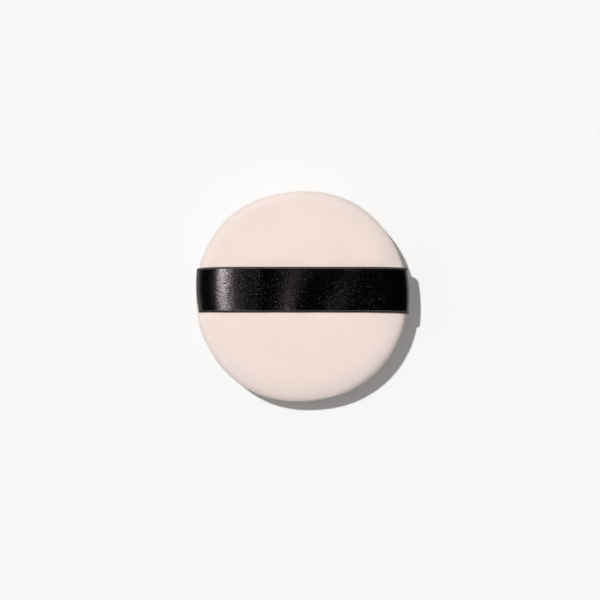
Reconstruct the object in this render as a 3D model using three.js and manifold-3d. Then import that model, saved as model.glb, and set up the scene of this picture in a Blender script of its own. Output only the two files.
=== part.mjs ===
// A round powder puff: two velour covers sewn rim to rim round a foam core, with a satin ribbon
// across the back for the fingers. Millimetres, +Z up. The puff rests on its powdering face at
// z = 0, its axis is the Z axis, and the ribbon runs along X.
import * as THREE from "three";
import { mergeVertices } from "three/addons/utils/BufferGeometryUtils.js";
import Module from "manifold-3d";

const wasm = await Module();
wasm.setup();

// Driving dimensions of the padded body
const PUFF_DIAMETER = 70;
const BACK_RISE = 6.7; // seam plane up to the crown of the back
const FACE_DROP = 7.2; // seam plane down to the crown of the face, before it is pressed flat
const REST_FLAT = 0.5; // how deep the face is pressed flat where it rests
const CROWN_POWER = 4; // superellipse power: flat middle, quick round shoulder
const VELOUR_THICKNESS = 1.0;

// Driving dimensions of the seam
const SEAM_DRAW = 0.8; // how far the seam line is drawn in from the rim
const SEAM_ROLL = 1.2; // height of the rolled edge on each side of the seam plane
const HEM_WIDTH = 6; // seam allowance turned inwards from the seam line
const STITCH_INSET = 1.5; // stitch line, in from the seam line
const STITCH_LENGTH = 5.5;
const THREAD_DIAMETER = 0.4;
const CLOSING_LENGTH = 30; // stretch of rim left open to put the core in, then sewn by hand
const CLOSING_STITCH = 3.4;
const CLOSING_ANGLE = -Math.PI / 2; // the hand-sewn stretch is centred on -Y

// Driving dimensions of the ribbon
const RIBBON_WIDTH = 15;
const RIBBON_THICKNESS = 0.3;
const RIBBON_OFFSET = 2; // the ribbon lies this far to +Y of the middle
const RIBBON_SQUARER = 1; // added to the crown's power, so the ribbon stands off at the shoulders
const RIPPLE_HEIGHT = 0.4;
const RIPPLE_LENGTH = 20;
const TAIL_SHORT = 1; // the sewn-in ends stop this far short of the hems' inner edge
const TACK_STITCH = 3.5;
const TACK_MARGIN = 1.5; // ribbon edge to the first tack stitch

// Clearances
const CLEARANCE = 0.3; // between neighbouring pieces
const THREAD_PLAY = 0.12; // all round a thread in its holes
const THREAD_BED = 0.25; // a thread's run lies this far off the cloth
const STITCH_CORNER = 0.3; // a stitch turns into its hole over this length

// Smoothness
const ROUND_STEPS = 36;
const CROWN_STEPS = 6;
const ROLL_STEPS = 2;
const RIBBON_TOP_STEPS = 26;
const RIBBON_SHOULDER_STEPS = 7;
const RIBBON_WIDTH_STEPS = 4;
const THREAD_SIDES = 4;
const WELD_DISTANCE = 1e-4;

// Sizes that follow from the ones above
const RIM_RADIUS = PUFF_DIAMETER / 2;
const SEAM_HEIGHT = FACE_DROP - REST_FLAT; // the seam plane above the surface the puff lies on
const SEAM_RADIUS = RIM_RADIUS - SEAM_DRAW;
const HEM_UNDERSIDE = CLEARANCE / 2; // from the seam plane
const HEM_TOP = HEM_UNDERSIDE + VELOUR_THICKNESS;
const HEM_RADIUS = SEAM_RADIUS - HEM_WIDTH;
const STITCH_RADIUS = SEAM_RADIUS - STITCH_INSET;
const TAIL_INNER = HEM_RADIUS + TAIL_SHORT;
const TACK_RADIUS = (STITCH_RADIUS + TAIL_INNER) / 2; // between the seam's stitches and the tail's end
const RUN_HEIGHT = HEM_TOP + THREAD_BED + THREAD_DIAMETER / 2; // a stitch's run, from the seam plane
const RIBBON_INNER_RADIUS = RIM_RADIUS + CLEARANCE;
const RIBBON_OUTER_RADIUS = RIBBON_INNER_RADIUS + RIBBON_THICKNESS;
const RIBBON_POWER = CROWN_POWER + RIBBON_SQUARER;
const RIBBON_LOW_EDGE = RIBBON_THICKNESS / 2 + CLEARANCE; // bottom of its drop, from the seam plane
const RIBBON_Y = [RIBBON_OFFSET - RIBBON_WIDTH / 2, RIBBON_OFFSET + RIBBON_WIDTH / 2];

// Finishes
const velour = new THREE.MeshStandardMaterial({ color: 0xf2e0d8, roughness: 1, metalness: 0 });
const foam = new THREE.MeshStandardMaterial({ color: 0xf6efe6, roughness: 0.95, metalness: 0 });
const satin = new THREE.MeshStandardMaterial({ color: 0x0d0c0d, roughness: 0.35, metalness: 0 });
const cotton = new THREE.MeshStandardMaterial({ color: 0xeedbd2, roughness: 0.8, metalness: 0 });

// Solid helpers

// A closed geometry as a solid that can be cut.
function solidOf(geometry) {
  const bare = geometry.clone();
  bare.deleteAttribute("normal");
  bare.deleteAttribute("uv");
  const merged = mergeVertices(bare, WELD_DISTANCE);
  const mesh = new wasm.Mesh({
    numProp: 3,
    vertProperties: new Float32Array(merged.attributes.position.array),
    triVerts: new Uint32Array(merged.index.array),
  });
  return new wasm.Manifold(mesh);
}

// A solid back as a geometry that can be drawn.
function geometryOf(solid) {
  const mesh = solid.getMesh();
  const geometry = new THREE.BufferGeometry();
  geometry.setAttribute("position", new THREE.BufferAttribute(mesh.vertProperties, mesh.numProp));
  geometry.setIndex(new THREE.BufferAttribute(mesh.triVerts, 1));
  geometry.computeVertexNormals();
  return geometry;
}

// A geometry with each of the given geometries cut out of it.
function cut(geometry, tools) {
  const cutOnce = (solid, tool) => solid.subtract(solidOf(tool));
  return geometryOf(tools.reduce(cutOnce, solidOf(geometry)));
}

// Points [radius, height] of one crowned half, from its rim in to the axis. The half springs
// from height base with the rim radius, would reach height crown, and is flat above height flat.
// It starts at height from.
function crownCurve(rim, base, crown, from, flat) {
  const power = 2 / CROWN_POWER;
  const angleAt = (height) => Math.asin(((height - base) / (crown - base)) ** (1 / power));
  const first = angleAt(from);
  const last = angleAt(Math.min(flat, crown));
  const points = [];
  for (let i = 0; i <= CROWN_STEPS; i++) {
    const angle = first + ((last - first) * i) / CROWN_STEPS;
    const radius = rim * Math.cos(angle) ** power;
    points.push([radius, base + (crown - base) * Math.sin(angle) ** power]);
  }
  if (flat < crown) points.push([0, flat]);
  else points[CROWN_STEPS] = [0, crown];
  return points;
}

// A solid of revolution about Z from points [radius, height above the seam plane].
function turned(points) {
  const profile = points.map(([radius, height]) => new THREE.Vector2(radius, height));
  return new THREE.LatheGeometry(profile, ROUND_STEPS).rotateX(Math.PI / 2);
}

// Padded body

// Profile of one velour cover, as if it were the back: inner wall, hem, rolled edge, crown.
function coverProfile(crown, flat) {
  const innerRim = RIM_RADIUS - VELOUR_THICKNESS;
  const inside = crownCurve(
    innerRim, HEM_TOP, crown - VELOUR_THICKNESS, HEM_TOP, flat - VELOUR_THICKNESS);
  const hem = [
    [HEM_RADIUS, HEM_TOP],
    [HEM_RADIUS, HEM_UNDERSIDE],
  ];
  const roll = [];
  for (let i = 0; i < ROLL_STEPS; i++) {
    const angle = (Math.PI / 2) * (i / ROLL_STEPS);
    const radius = SEAM_RADIUS + SEAM_DRAW * Math.sin(angle);
    roll.push([radius, SEAM_ROLL - (SEAM_ROLL - HEM_UNDERSIDE) * Math.cos(angle)]);
  }
  const outside = crownCurve(RIM_RADIUS, SEAM_ROLL, crown, SEAM_ROLL, flat);
  return [...inside.reverse(), ...hem, ...roll, ...outside];
}

// Outline of one half of the foam core, from the groove that takes the hems in to the axis.
function coreHalf(crown, flat) {
  const gap = VELOUR_THICKNESS + CLEARANCE;
  const lip = RUN_HEIGHT + THREAD_DIAMETER / 2 + CLEARANCE;
  const grooveRadius = HEM_RADIUS - CLEARANCE;
  return [
    [grooveRadius, lip],
    ...crownCurve(RIM_RADIUS - gap, HEM_TOP, crown - gap, lip, flat - gap),
  ];
}

// The same profile below the seam plane.
const flipped = (points) => points.map(([radius, height]) => [radius, -height]).reverse();

// Threads

// A thread swept along a path of [distance round the rim, height] at one radius. The section is
// mitred at every corner, and the ends are closed.
function thread(path, radius, diameter) {
  const reach = diameter / 2;
  const place = (along, height, out) => {
    const angle = along / radius;
    return [(radius + out) * Math.cos(angle), (radius + out) * Math.sin(angle), height];
  };
  const direction = (a, b) => {
    const [along, height] = [b[0] - a[0], b[1] - a[1]];
    const length = Math.hypot(along, height);
    return [along / length, height / length];
  };
  const positions = [];
  path.forEach((point, i) => {
    const before = direction(path[Math.max(i - 1, 0)], path[Math.max(i, 1)]);
    const after = direction(
      path[Math.min(i, path.length - 2)], path[Math.min(i + 1, path.length - 1)]);
    const mean = direction([0, 0], [before[0] + after[0], before[1] + after[1]]);
    const mitre = 1 / (mean[0] * after[0] + mean[1] * after[1]);
    for (let side = 0; side < THREAD_SIDES; side++) {
      const turn = (2 * Math.PI * (side + 0.5)) / THREAD_SIDES;
      const across = reach * mitre * Math.sin(turn);
      positions.push(...place(
        point[0] - mean[1] * across, point[1] + mean[0] * across, reach * Math.cos(turn)));
    }
  });
  const index = [];
  for (let ring = 0; ring < path.length - 1; ring++) {
    for (let side = 0; side < THREAD_SIDES; side++) {
      const [a, b] = [ring * THREAD_SIDES + side, ring * THREAD_SIDES + ((side + 1) % THREAD_SIDES)];
      const [c, d] = [a + THREAD_SIDES, b + THREAD_SIDES];
      index.push(a, c, b, b, c, d);
    }
  }
  const lastRing = (path.length - 1) * THREAD_SIDES;
  for (let side = 1; side < THREAD_SIDES - 1; side++) {
    index.push(0, side, side + 1);
    index.push(lastRing, lastRing + side + 1, lastRing + side);
  }
  const geometry = new THREE.BufferGeometry();
  geometry.setAttribute("position", new THREE.Float32BufferAttribute(positions, 3));
  geometry.setIndex(index);
  return geometry;
}

// The path of a row of stitches: over, down a hole, under, up the next hole, from start to end.
function stitchPath(start, end, stitch, runHeight) {
  const count = Math.max(2, Math.round((end - start) / stitch));
  const pitch = (end - start) / count;
  const path = [[start - pitch / 2, runHeight]];
  for (let hole = 0; hole <= count; hole++) {
    const [along, side] = [start + hole * pitch, hole % 2 ? -1 : 1];
    path.push([along - STITCH_CORNER, side * runHeight]);
    path.push([along, side * (runHeight - STITCH_CORNER)]);
    path.push([along, -side * (runHeight - STITCH_CORNER)]);
    path.push([along + STITCH_CORNER, -side * runHeight]);
  }
  path.push([end + pitch / 2, (count % 2 ? 1 : -1) * runHeight]);
  return path;
}

// Both thicknesses of a thread: the thread itself, and the room it takes in the cloth.
function sewn(path, radius) {
  return {
    line: thread(path, radius, THREAD_DIAMETER),
    room: thread(path, radius, THREAD_DIAMETER + 2 * THREAD_PLAY),
  };
}

// The machine-sewn seam runs round the rim from one end of the hand-sewn stretch to the other.
function seamStitches() {
  const half = CLOSING_LENGTH / 2 / RIM_RADIUS;
  const start = (CLOSING_ANGLE + half) * STITCH_RADIUS;
  const end = (CLOSING_ANGLE + 2 * Math.PI - half) * STITCH_RADIUS;
  return sewn(stitchPath(start, end, STITCH_LENGTH, RUN_HEIGHT), STITCH_RADIUS);
}

// The ladder stitches run inside the two rolled edges and cross the seam between them.
function closingStitches() {
  const half = (CLOSING_LENGTH - CLOSING_STITCH) / 2;
  const middle = CLOSING_ANGLE * SEAM_RADIUS;
  const insideTheRoll = HEM_UNDERSIDE + VELOUR_THICKNESS / 2;
  return sewn(stitchPath(middle - half, middle + half, CLOSING_STITCH, insideTheRoll), SEAM_RADIUS);
}

// A tack row holds a ribbon end between the hems. side is 1 on the right and -1 on the left.
function tackStitches(side) {
  const [low, high] = RIBBON_Y.map((y, i) => y + (i ? -TACK_MARGIN : TACK_MARGIN));
  const angles = [low, high].map((y) => Math.asin(y / TACK_RADIUS));
  const [start, end] = side > 0 ? angles : [Math.PI - angles[1], Math.PI - angles[0]];
  const path = stitchPath(start * TACK_RADIUS, end * TACK_RADIUS, TACK_STITCH, RUN_HEIGHT);
  return sewn(path, TACK_RADIUS);
}

// Ribbon

// How far the ribbon's gentle ripples lift it off the back at x. They fade out at the shoulders.
function ripple(x) {
  const fade = Math.max(0, 1 - (x / RIM_RADIUS) ** 2) ** 2;
  return RIPPLE_HEIGHT * fade * (0.5 + 0.5 * Math.cos((2 * Math.PI * x) / RIPPLE_LENGTH));
}

// Stations [x share, height share] along the ribbon from its left low edge to its right one.
function ribbonStations() {
  const topShare = 0.8; // the top runs this far out before the shoulder
  const power = 2 / RIBBON_POWER;
  const heightAt = (share) => (1 - Math.abs(share) ** RIBBON_POWER) ** (1 / RIBBON_POWER);
  const top = [];
  for (let i = 0; i <= RIBBON_TOP_STEPS; i++) {
    const share = topShare * ((2 * i) / RIBBON_TOP_STEPS - 1);
    top.push([share, heightAt(share)]);
  }
  const start = Math.acos(topShare ** (1 / power));
  const shoulder = [];
  for (let i = 1; i <= RIBBON_SHOULDER_STEPS; i++) {
    const angle = start * (1 - i / RIBBON_SHOULDER_STEPS);
    shoulder.push([Math.cos(angle) ** power, Math.sin(angle) ** power]);
  }
  const mirrored = shoulder.map(([x, height]) => [-x, height]).reverse();
  return [[-1, null], ...mirrored, ...top, ...shoulder, [1, null]];
}

// The ribbon over the back, as a closed sheet: an outer and an inner skin and the four edges.
// A station with no height is a low edge, where the ribbon drops to the seam.
function ribbonGeometry() {
  const stations = ribbonStations();
  const rows = RIBBON_WIDTH_STEPS + 1;
  const positions = [];
  for (const radius of [RIBBON_OUTER_RADIUS, RIBBON_INNER_RADIUS]) {
    const rise = BACK_RISE - SEAM_ROLL + radius - RIM_RADIUS;
    for (const [xShare, heightShare] of stations) {
      for (let row = 0; row < rows; row++) {
        const y = RIBBON_Y[0] + (RIBBON_WIDTH * row) / RIBBON_WIDTH_STEPS;
        const x = xShare * Math.sqrt(radius ** 2 - y ** 2);
        const drop = heightShare === null;
        positions.push(x, y, drop ? RIBBON_LOW_EDGE : SEAM_ROLL + rise * heightShare + ripple(x));
      }
    }
  }
  const inner = stations.length * rows;
  const index = [];
  const quad = (a, b, c, d) => index.push(a, b, c, a, c, d);
  for (let s = 0; s < stations.length - 1; s++) {
    for (let row = 0; row < rows - 1; row++) {
      const a = s * rows + row;
      const [b, c, d] = [a + rows, a + rows + 1, a + 1];
      quad(a, b, c, d);
      quad(inner + a, inner + d, inner + c, inner + b);
    }
    const [near, nearNext] = [s * rows, (s + 1) * rows];
    const [far, farNext] = [near + rows - 1, nearNext + rows - 1];
    quad(near, inner + near, inner + nearNext, nearNext);
    quad(far, farNext, inner + farNext, inner + far);
  }
  const lastStation = (stations.length - 1) * rows;
  for (let row = 0; row < rows - 1; row++) {
    quad(row, row + 1, inner + row + 1, inner + row);
    const end = lastStation + row;
    quad(end, inner + end, inner + end + 1, end + 1);
  }
  const geometry = new THREE.BufferGeometry();
  geometry.setAttribute("position", new THREE.Float32BufferAttribute(positions, 3));
  geometry.setIndex(index);
  geometry.computeVertexNormals();
  return geometry;
}

// A ribbon end, flat on the seam plane from between the hems out past the rim, where it lies
// under the ribbon's low edge. room is the space left all round it: none for the ribbon itself,
// and the clearance for the pocket that it presses into the hems. side is 1 right and -1 left.
function tailGeometry(side, room) {
  const [low, high] = [RIBBON_Y[0] - room, RIBBON_Y[1] + room];
  const radius = RIBBON_OUTER_RADIUS + room;
  const innerX = side * (TAIL_INNER - room);
  const angleAt = (y) => Math.atan2(y, side * Math.sqrt(radius ** 2 - y ** 2));
  const outline = new THREE.Shape();
  outline.moveTo(innerX, low);
  outline.absarc(0, 0, radius, angleAt(low), angleAt(high), side < 0);
  outline.lineTo(innerX, high);
  outline.closePath();
  const thickness = RIBBON_THICKNESS + 2 * room;
  const strip = new THREE.ExtrudeGeometry(
    outline, { depth: thickness, bevelEnabled: false, curveSegments: RIBBON_WIDTH_STEPS });
  return strip.translate(0, 0, -thickness / 2);
}

// Assembly: everything is made about the seam plane, and the group lifts it to its height.
const seam = seamStitches();
const closing = closingStitches();
const tackRight = tackStitches(1);
const tackLeft = tackStitches(-1);
const threadRooms = [seam.room, closing.room, tackRight.room, tackLeft.room];
const tailPockets = [tailGeometry(1, CLEARANCE), tailGeometry(-1, CLEARANCE)];
const coverRooms = [...threadRooms, ...tailPockets];

const backCover = cut(turned(coverProfile(BACK_RISE, BACK_RISE)), coverRooms);
const faceCover = cut(turned(flipped(coverProfile(FACE_DROP, SEAM_HEIGHT))), coverRooms);
const foamCore = turned([
  ...flipped(coreHalf(FACE_DROP, SEAM_HEIGHT)),
  ...coreHalf(BACK_RISE, BACK_RISE),
]);

const puff = new THREE.Group();
puff.position.z = SEAM_HEIGHT;

function add(name, geometry, material) {
  const mesh = new THREE.Mesh(geometry, material);
  mesh.name = name;
  puff.add(mesh);
}

add("back_cover", backCover, velour);
add("face_cover", faceCover, velour);
add("foam_core", foamCore, foam);
add("finger_ribbon", ribbonGeometry(), satin);
add("ribbon_tail_right", cut(tailGeometry(1, 0), [seam.room, tackRight.room]), satin);
add("ribbon_tail_left", cut(tailGeometry(-1, 0), [seam.room, tackLeft.room]), satin);
add("seam_thread", seam.line, cotton);
add("closing_thread", closing.line, cotton);
add("ribbon_tack_right", tackRight.line, cotton);
add("ribbon_tack_left", tackLeft.line, cotton);

export default puff;
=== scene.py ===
# %% [markdown]
# A powder puff is two velour discs sewn rim to rim round a flat foam core, with a satin ribbon
# across the back for the fingers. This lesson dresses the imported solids: it keeps their sizes and
# gives every piece its real cloth form and finish. The frame comes first, because every later
# piece takes its place from it.

# %% Load the frame
import math
from functools import partialmethod

import bpy
import numpy as np
from mathutils import Matrix, Vector


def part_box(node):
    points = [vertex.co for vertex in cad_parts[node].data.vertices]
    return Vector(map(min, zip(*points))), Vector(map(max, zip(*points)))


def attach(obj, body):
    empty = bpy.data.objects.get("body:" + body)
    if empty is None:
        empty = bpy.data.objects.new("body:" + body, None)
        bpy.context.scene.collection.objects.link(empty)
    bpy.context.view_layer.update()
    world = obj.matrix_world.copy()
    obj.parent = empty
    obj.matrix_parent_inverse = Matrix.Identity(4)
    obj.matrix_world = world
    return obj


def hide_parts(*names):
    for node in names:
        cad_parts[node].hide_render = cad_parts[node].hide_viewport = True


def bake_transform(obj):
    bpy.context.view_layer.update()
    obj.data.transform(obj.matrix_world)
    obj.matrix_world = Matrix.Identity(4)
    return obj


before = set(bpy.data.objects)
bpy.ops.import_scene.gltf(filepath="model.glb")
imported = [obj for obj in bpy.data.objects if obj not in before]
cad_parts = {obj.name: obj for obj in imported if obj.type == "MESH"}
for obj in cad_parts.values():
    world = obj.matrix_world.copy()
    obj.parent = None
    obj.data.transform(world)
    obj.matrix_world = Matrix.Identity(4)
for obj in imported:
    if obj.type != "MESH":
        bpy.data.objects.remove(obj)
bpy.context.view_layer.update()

# %% [markdown]
# All sizes are metres, so small ones are written as a number of millimetres. The main ones are
# read from the solids: the rim, the crown of the back, and the seam plane where the covers meet.

# %% Sizes of the puff
MM = 0.001
back_low, back_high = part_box("back_cover")
face_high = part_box("face_cover")[1]
RIM = back_high.x
CROWN = back_high.z
SEAM_GAP = back_low.z - face_high.z
SEAM = (back_low.z + face_high.z) / 2
EDGE_ROLL = 2.2 * MM  # height of the rolled edge on each side of the seam plane
SEAM_DRAW = 0.9 * MM  # how far the seam line is drawn in from the rim
HEM_WIDTH = 6.0 * MM  # velour turned in between the core and the seam
VELOUR = 0.6 * MM  # the velour's ground cloth
PILE = 0.3 * MM  # how far the pile stands off the ground cloth
print(f"rim {RIM / MM:.2f}, crown {CROWN / MM:.2f}, seam plane {SEAM / MM:.2f} mm")

# %% [markdown]
# A few helpers serve every step. They put things into the scene, turn points and faces into a piece,
# read and set its points, work modifiers and node trees into a plain mesh, and wire nodes by name.

# %% Helpers
def in_scene(name, data):
    made = bpy.data.objects.new(name, data)
    bpy.context.scene.collection.objects.link(made)
    return made


def piece_from(name, points, faces):
    mesh = bpy.data.meshes.new(name)
    mesh.from_pydata([tuple(p) for p in points], [], [tuple(f) for f in faces])
    mesh.update()
    mesh.shade_smooth()
    return in_scene(name, mesh)


def points_of(mesh, what="co"):
    """One row for each point of a mesh: its place, or its normal."""
    flat = np.empty(len(mesh.vertices) * 3)
    mesh.vertices.foreach_get(what, flat)
    return flat.reshape(-1, 3)


def set_points(piece, points):
    piece.data.vertices.foreach_set("co", points.ravel())
    piece.data.update()


def plain_mesh(piece):
    """The mesh of a piece with its modifiers worked in."""
    evaluated = piece.evaluated_get(bpy.context.evaluated_depsgraph_get())
    return bpy.data.meshes.new_from_object(evaluated)


def keep_modified(piece):
    mesh = plain_mesh(piece)
    piece.modifiers.clear()
    piece.data = mesh


def grow(name, source, tree, **values):
    """A new piece: what a Geometry Nodes tree makes of a source piece."""
    modifier = source.modifiers.new(tree.name, "NODES")
    modifier.node_group = tree
    for socket in tree.interface.items_tree:
        if socket.in_out == "INPUT" and socket.name in values:
            modifier[socket.identifier] = values[socket.name]
    mesh = plain_mesh(source)
    source.modifiers.remove(modifier)
    mesh.name = name
    print(f"{name}: {len(mesh.polygons)} faces")
    return in_scene(name, mesh)


def grow_on_line(name, points, tree, **values):
    """A new piece: what a tree makes of a line through points."""
    mesh = bpy.data.meshes.new("line")
    mesh.from_pydata([tuple(p) for p in points], [(i, i + 1) for i in range(len(points) - 1)], [])
    line = in_scene("line", mesh)
    piece = grow(name, line, tree, **values)
    bpy.data.objects.remove(line)
    return piece


class Wiring:
    """Adds nodes to a tree and links them.

    A value is a number, a colour, another socket, or a node, which stands for its first output."""

    def __init__(self, tree):
        self.tree = tree

    def node(self, kind, inputs=None, **settings):
        made = self.tree.nodes.new(kind)
        for name, value in settings.items():
            setattr(made, name, value)
        for key, value in (inputs or {}).items():
            self.put(made.inputs[key], value)
        return made

    def put(self, socket, value):
        if isinstance(value, bpy.types.Node):
            value = value.outputs[0]
        if isinstance(value, bpy.types.NodeSocket):
            self.tree.links.new(value, socket)
        else:
            socket.default_value = value

    def calc(self, operation, a, b=0.0):
        return self.node("ShaderNodeMath", {0: a, 1: b}, operation=operation)

    plus, minus = partialmethod(calc, "ADD"), partialmethod(calc, "SUBTRACT")
    times, over = partialmethod(calc, "MULTIPLY"), partialmethod(calc, "DIVIDE")

    def vector(self, x=0.0, y=0.0, z=0.0):
        return self.node("ShaderNodeCombineXYZ", {0: x, 1: y, 2: z})


def mixed(wire, factor, first, second, blend="MIX"):
    """Two colours mixed: 6, 7 and 2 are the colour sockets of the Mix node."""
    return wire.node("ShaderNodeMix", {"Factor": factor, 6: first, 7: second},
                     data_type="RGBA", blend_type=blend).outputs[2]


def new_tree(name, kind, inputs, outputs):
    """An empty node group with its sockets, its wiring and its two end nodes."""
    tree = bpy.data.node_groups.new(name, kind)
    for label, socket, value in inputs:
        made = tree.interface.new_socket(label, in_out="INPUT", socket_type=socket)
        if value is not None:
            made.default_value = value
    for label, socket in outputs:
        tree.interface.new_socket(label, in_out="OUTPUT", socket_type=socket)
    wire = Wiring(tree)
    return tree, wire, wire.node("NodeGroupInput").outputs, wire.node("NodeGroupOutput").inputs


def new_grower(name, inputs):
    """An empty Geometry Nodes tree: a mesh goes in, and what grows on it comes out."""
    ends = [("Geometry", GEOMETRY)]
    return new_tree(name, "GeometryNodeTree", [(*ends[0], None), *inputs], ends)


GEOMETRY, FLOAT, COLOUR = "NodeSocketGeometry", "NodeSocketFloat", "NodeSocketColor"
MATERIAL, INTEGER = "NodeSocketMaterial", "NodeSocketInt"

# %% [markdown]
# The puff was photographed from straight above on a white sheet, in one hard light from the upper
# left, with a soft fill that lifts the shadow to about a quarter. One sun lamp gives the hard light.
# A second, as wide as the sky, gives the fill; it leaves no gloss, so that the satin ribbon, which
# mirrors what is overhead, stays black. The world is pale at the horizon, for views from the side.

# %% Camera, light and floor
FRAME_PIXELS = 600
PIXEL = 0.3308 * MM  # one image pixel at the height of the rim
LENS, SENSOR = 100.0, 36.0
PUFF_MIDDLE_PIXEL = (301.4, 296.3)  # where the image shows the puff's middle
SUN_DIRECTION = Vector((-0.43, 0.41, 1.0))
SUN_STRENGTH, SUN_WIDTH = 2.6, math.radians(2.0)
FILL_STRENGTH, FILL_WIDTH = 0.8, math.radians(170)
HORIZON, OVERHEAD = (0.12, 0.95), (0.26, 0.005)  # height in the sky, and how bright it is there
FLOOR_REACH = 3.0

camera = in_scene("camera", bpy.data.cameras.new("camera"))
camera.data.lens, camera.data.sensor_width = LENS, SENSOR
distance = FRAME_PIXELS * PIXEL * LENS / SENSOR
camera.location = (
    (FRAME_PIXELS / 2 - PUFF_MIDDLE_PIXEL[0]) * PIXEL,
    (PUFF_MIDDLE_PIXEL[1] - FRAME_PIXELS / 2) * PIXEL,
    SEAM + EDGE_ROLL + distance,
)
bpy.context.scene.camera = camera


def sun_lamp(name, strength, width, direction):
    lamp = in_scene(name, bpy.data.lights.new(name, "SUN"))
    lamp.data.energy, lamp.data.angle = strength, width
    lamp.rotation_euler = direction.to_track_quat("Z", "Y").to_euler()
    return lamp


sun_lamp("sun", SUN_STRENGTH, SUN_WIDTH, SUN_DIRECTION)
fill = sun_lamp("fill", FILL_STRENGTH, FILL_WIDTH, Vector((0, 0, 1)))
fill.visible_glossy = False


def make_sky():
    world = bpy.data.worlds.new("studio")
    world.use_nodes = True
    wire = Wiring(world.node_tree)
    up = wire.node("ShaderNodeSeparateXYZ", {0: wire.node("ShaderNodeTexCoord").outputs["Generated"]})
    ramp = wire.node("ShaderNodeValToRGB", {"Fac": up.outputs["Z"]})
    for stop, (height, grey) in zip(ramp.color_ramp.elements, (HORIZON, OVERHEAD)):
        stop.position, stop.color = height, (grey, grey, grey, 1)
    wire.put(world.node_tree.nodes["Background"].inputs["Color"], ramp.outputs["Color"])
    return world


bpy.context.scene.world = make_sky()
bpy.context.scene.view_settings.view_transform = "Standard"

corners = [(-1, -1), (1, -1), (1, 1), (-1, 1)]
floor = piece_from("floor", [(x * FLOOR_REACH, y * FLOOR_REACH, 0) for x, y in corners], [(0, 1, 2, 3)])
print(f"camera {camera.location.z:.3f} m above the floor")

# %% [markdown]
# No cloth is one even colour. A shader group that several finishes share mixes two noises: a broad
# one for worn and brushed patches, and a fine one for fibres. A third, broader still, turns the hue a
# little between pink and peach. It puts out a shade to multiply a colour with, and a height for bump.

# %% Shared shader group: cloth grain
HUE_SPREAD = 1.6  # how much wider the patches of hue are than those of shade


def make_cloth_grain():
    tree, wire, given, result = new_tree(
        "cloth_grain", "ShaderNodeTree",
        [("Patch Size", FLOAT, 9 * MM), ("Grain Size", FLOAT, 0.35 * MM),
         ("Patch Shade", FLOAT, 0.02), ("Grain Shade", FLOAT, 0.05), ("Hue Shade", FLOAT, 0.04)],
        [("Shade", COLOUR), ("Height", FLOAT)])
    place = wire.node("ShaderNodeTexCoord").outputs["Object"]

    def noise(size, detail):
        scale = wire.over(1.0, size)
        made = wire.node("ShaderNodeTexNoise", {"Vector": place, "Scale": scale, "Detail": detail})
        return wire.minus(made.outputs["Fac"], 0.5)

    patch = noise(given["Patch Size"], 2.0)
    grain = noise(given["Grain Size"], 3.0)
    shade = wire.plus(wire.times(patch, given["Patch Shade"]), wire.times(grain, given["Grain Shade"]))
    level = wire.plus(wire.times(shade, 2.0), 1.0)
    hue = noise(wire.times(given["Patch Size"], HUE_SPREAD), 1.0)
    blue = wire.plus(level, wire.times(hue, given["Hue Shade"]))
    colour = wire.node("ShaderNodeCombineColor", {0: level, 1: level, 2: blue})
    wire.put(result["Shade"], colour)
    wire.put(result["Height"], grain)
    return tree


cloth_grain = make_cloth_grain()
print("shared group:", cloth_grain.name)

# %% [markdown]
# The velour's colour is painted darker and greyer towards the rim: painted shade for the fall of light
# over the shoulder. A second group turns the distance from the middle into that painted shade: a third
# of it comes in slowly over the shoulder, and the rest over the last bit of the edge.

# %% Shared shader group: painted rim shade
# Painted shade: this group darkens and greys the velour's colour towards the rim; the two shares split it.
BAND_SHARE, EDGE_SHARE = 0.33, 0.67  # of the tone, over the shoulder and over the edge


def make_painted_rim_shade():
    tree, wire, given, result = new_tree(
        "painted_rim_shade", "ShaderNodeTree",
        [("Rim", FLOAT, RIM), ("Band", FLOAT, 9 * MM), ("Edge", FLOAT, 1.6 * MM),
         ("Painted Shade", COLOUR, (0.85, 0.87, 0.885, 1))],
        [("Shade", COLOUR)])
    place = wire.node("ShaderNodeSeparateXYZ", {0: wire.node("ShaderNodeTexCoord").outputs["Object"]})
    flat = wire.vector(place.outputs["X"], place.outputs["Y"])
    radius = wire.node("ShaderNodeVectorMath", {0: flat}, operation="LENGTH").outputs["Value"]
    masks = []
    for width, share in ((given["Band"], BAND_SHARE), (given["Edge"], EDGE_SHARE)):
        mask = wire.node("ShaderNodeMapRange", {
            "Value": radius, "From Min": wire.minus(given["Rim"], width),
            "From Max": given["Rim"], "To Max": share}, interpolation_type="SMOOTHSTEP")
        masks.append(mask)
    wire.put(result["Shade"], mixed(wire, wire.plus(*masks), (1, 1, 1, 1), given["Painted Shade"]))
    return tree


painted_rim_shade = make_painted_rim_shade()
print("shared group:", painted_rim_shade.name)

# %% [markdown]
# A cloth finish is then one short function: a base colour times the grain's shade, and the grain's
# height as bump. Velour, foam and thread differ in colour, scale and sheen.

# %% Finishes: velour, pile, foam, thread and floor
GRAIN_INPUTS = "Patch Size", "Grain Size", "Patch Shade", "Grain Shade"
CLOTH_SCATTER, SHEEN_SPREAD = 0.4, 0.5  # roughness of the diffuse light and of the sheen
SHEET_BOUNCE, SHEET_WHITE = (0.6, 0.6, 0.6, 1), (0.935, 0.935, 0.93, 1)


def new_material(name):
    material = bpy.data.materials.new(name)
    material.use_nodes = True
    return Wiring(material.node_tree), material.node_tree.nodes["Principled BSDF"].inputs, material


def set_plain(sockets, values):
    """What is the same all over the surface goes on the node's own sockets."""
    for name, value in values.items():
        sockets[name].default_value = value


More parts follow.
